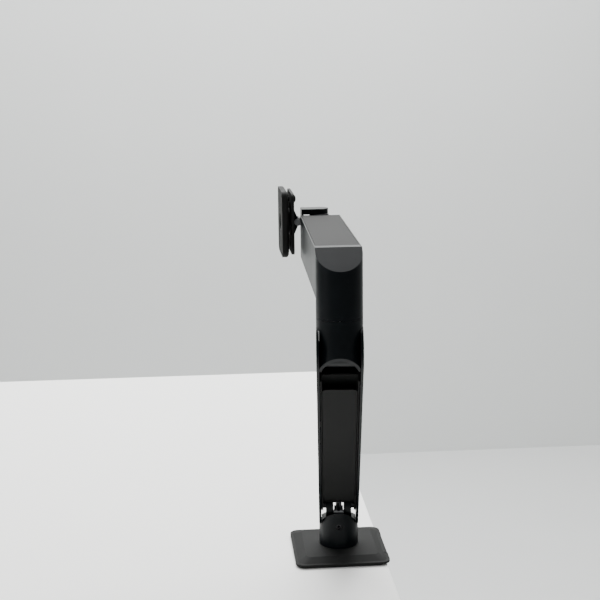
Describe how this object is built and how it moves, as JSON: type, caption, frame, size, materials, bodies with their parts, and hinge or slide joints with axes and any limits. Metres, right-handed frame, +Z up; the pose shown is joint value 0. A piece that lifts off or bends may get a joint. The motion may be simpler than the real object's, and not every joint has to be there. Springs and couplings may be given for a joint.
{
  "type": "monitor arm",
  "caption": "Black gas-spring monitor arm with a desk clamp, levelled lower arm, box-section upper arm and a tilting, turning screen plate.",
  "frame": {"origin": "on the desk top, at the centre of the base pad's underside, on the swivel axis", "axes": "+Z up from the desk; +X towards the clamp and the desk's edge; the screen plate faces -X at rest, and the lower arm leans towards -Y"},
  "size_m": [0.1304, 0.3712, 0.6446],
  "materials": {
    "black_metal": "satin black paint with a faint blue tint",
    "satin_metal": "fine-textured matte-satin black paint",
    "black_plastic": "fine-grained moulded plastic",
    "rubber": "matte rubber",
    "steel": "turned steel",
    "dark_steel": "black oxide steel",
    "bronze": "sintered bronze",
    "nylon": "natural nylon"
  },
  "bodies": {
    "base": {"base_plate": "satin_metal", "base_pad": "rubber", "base_post": "steel", "post_screws": "dark_steel", "thrust_washer": "nylon", "clamp_bracket": "satin_metal", "bracket_screws": "dark_steel", "clamp_nut": "steel"},
    "clamp_press": {"clamp_pad": "dark_steel", "clamp_pad_rubber": "rubber"},
    "clamp_drive": {"clamp_screw": "steel", "clamp_knob": "black_plastic"},
    "hub": {"hub": "black_metal", "swivel_bush": "nylon", "swivel_lock_screw": "dark_steel", "lift_pins": "dark_steel", "hub_link_pins": "dark_steel", "spring_anchor_pin": "steel", "lift_washers": "black_plastic"},
    "tension": {"tension_screw": "dark_steel"},
    "lower_arm": {"arm_casing": "black_metal", "pivot_bushes": "bronze", "pivot_caps": "satin_metal", "cable_tray": "black_plastic", "tray_screws": "dark_steel", "spring_pin": "steel", "spring_cylinder": "dark_steel"},
    "lower_cover": {"lower_cable_cover": "black_plastic"},
    "spring_piston": {"spring_rod": "steel"},
    "link": {"parallel_link": "dark_steel"},
    "elbow": {"elbow_bracket": "black_metal", "elbow_pins": "dark_steel", "elbow_link_pins": "dark_steel", "elbow_washers": "black_plastic", "elbow_shaft": "steel", "elbow_stop_screw": "steel", "elbow_washer": "nylon", "elbow_nut": "steel"},
    "upper_arm": {"upper_arm_body": "satin_metal", "elbow_bush": "bronze", "cable_clips": "black_plastic", "end_plug": "black_plastic", "pan_bush": "bronze"},
    "top_lid": {"top_cover": "satin_metal"},
    "pan": {"pan_bracket": "black_metal", "pan_pin": "steel", "pan_washers": "steel", "pan_nut": "dark_steel"},
    "tilt": {"tilt_knuckle": "black_metal", "tilt_bolt": "steel", "tilt_nut": "steel", "rotation_shaft": "steel", "rotation_nut": "dark_steel"},
    "screen": {"release_plate": "satin_metal", "release_hub": "black_metal", "vesa_plate": "satin_metal"},
    "thumb_ring": {"thumb_washer": "nylon"},
    "thumb": {"thumb_screw": "black_plastic"}
  },
  "joints": [
    {"name": "clamp_travel", "type": "slide", "parent": "base", "child": "clamp_press", "axis": [0, 0, 1], "range_m": [-0.05, 0.015]},
    {"name": "clamp_turn", "type": "hinge", "parent": "clamp_press", "child": "clamp_drive", "pos_m": [0.018, 0, -0.03], "axis": [0, 0, 1], "range_deg": [-9001, 2701]},
    {"name": "base_swivel", "type": "hinge", "parent": "base", "child": "hub", "pos_m": [0, 0, 0], "axis": [0, 0, 1], "range_deg": [-84.5, 95.5]},
    {"name": "tension_turn", "type": "hinge", "parent": "hub", "child": "tension", "pos_m": [-0.00134, -0.01394, 0.041], "axis": [-0.0958, -0.9954, 0], "range_deg": [-1080, 1080]},
    {"name": "arm_lift", "type": "hinge", "parent": "hub", "child": "lower_arm", "pos_m": [0, 0, 0.065], "axis": [-0.9954, 0.0958, 0], "range_deg": [-28, 22]},
    {"name": "lower_cover_clip", "type": "slide", "parent": "lower_arm", "child": "lower_cover", "axis": [-0.0712, -0.7397, -0.6691], "range_m": [0, 0.015]},
    {"name": "spring_stroke", "type": "slide", "parent": "lower_arm", "child": "spring_piston", "axis": [0.0591, 0.6133, -0.7876], "range_m": [-0.0057, 0.0045]},
    {"name": "link_swing", "type": "hinge", "parent": "hub", "child": "link", "pos_m": [0.00077, 0.00799, 0.07647], "axis": [-0.9954, 0.0958, 0], "range_deg": [-28, 22]},
    {"name": "elbow_level", "type": "hinge", "parent": "lower_arm", "child": "elbow", "pos_m": [-0.02347, -0.24377, 0.33699], "axis": [-0.9954, 0.0958, 0], "range_deg": [-22, 28]},
    {"name": "elbow_swivel", "type": "hinge", "parent": "elbow", "child": "upper_arm", "pos_m": [-0.02347, -0.24377, 0.37699], "axis": [0, 0, 1], "range_deg": [-4, 355]},
    {"name": "upper_cover_clip", "type": "slide", "parent": "upper_arm", "child": "top_lid", "axis": [0, 0, 1], "range_m": [0, 0.01]},
    {"name": "head_pan", "type": "hinge", "parent": "upper_arm", "child": "pan", "pos_m": [-0.01667, 0.05615, 0.44959], "axis": [0, 0, 1], "range_deg": [-182, 1]},
    {"name": "head_tilt", "type": "hinge", "parent": "pan", "child": "tilt", "pos_m": [-0.04617, 0.05615, 0.44059], "axis": [0, 1, 0], "range_deg": [-10, 25]},
    {"name": "screen_rotate", "type": "hinge", "parent": "tilt", "child": "screen", "pos_m": [-0.05667, 0.05615, 0.44059], "axis": [-1, 0, 0], "range_deg": [-90, 90]},
    {"name": "thumb_travel", "type": "slide", "parent": "screen", "child": "thumb_ring", "axis": [1, 0, 0], "range_m": [0, 0.004]},
    {"name": "thumb_turn", "type": "hinge", "parent": "thumb_ring", "child": "thumb", "pos_m": [-0.04967, 0.05615, 0.47009], "axis": [1, 0, 0], "range_deg": [0, 1441]}
  ],
  "couplings": [
    {"joint": "clamp_turn", "follows": "clamp_travel", "rad_per_m": 3141.6},
    {"joint": "link_swing", "follows": "arm_lift", "ratio": 1},
    {"joint": "elbow_level", "follows": "arm_lift", "ratio": -1},
    {"joint": "spring_stroke", "follows": "arm_lift", "m_per_rad": 0.0114},
    {"joint": "thumb_turn", "follows": "thumb_travel", "rad_per_m": 6283.2}
  ]
}
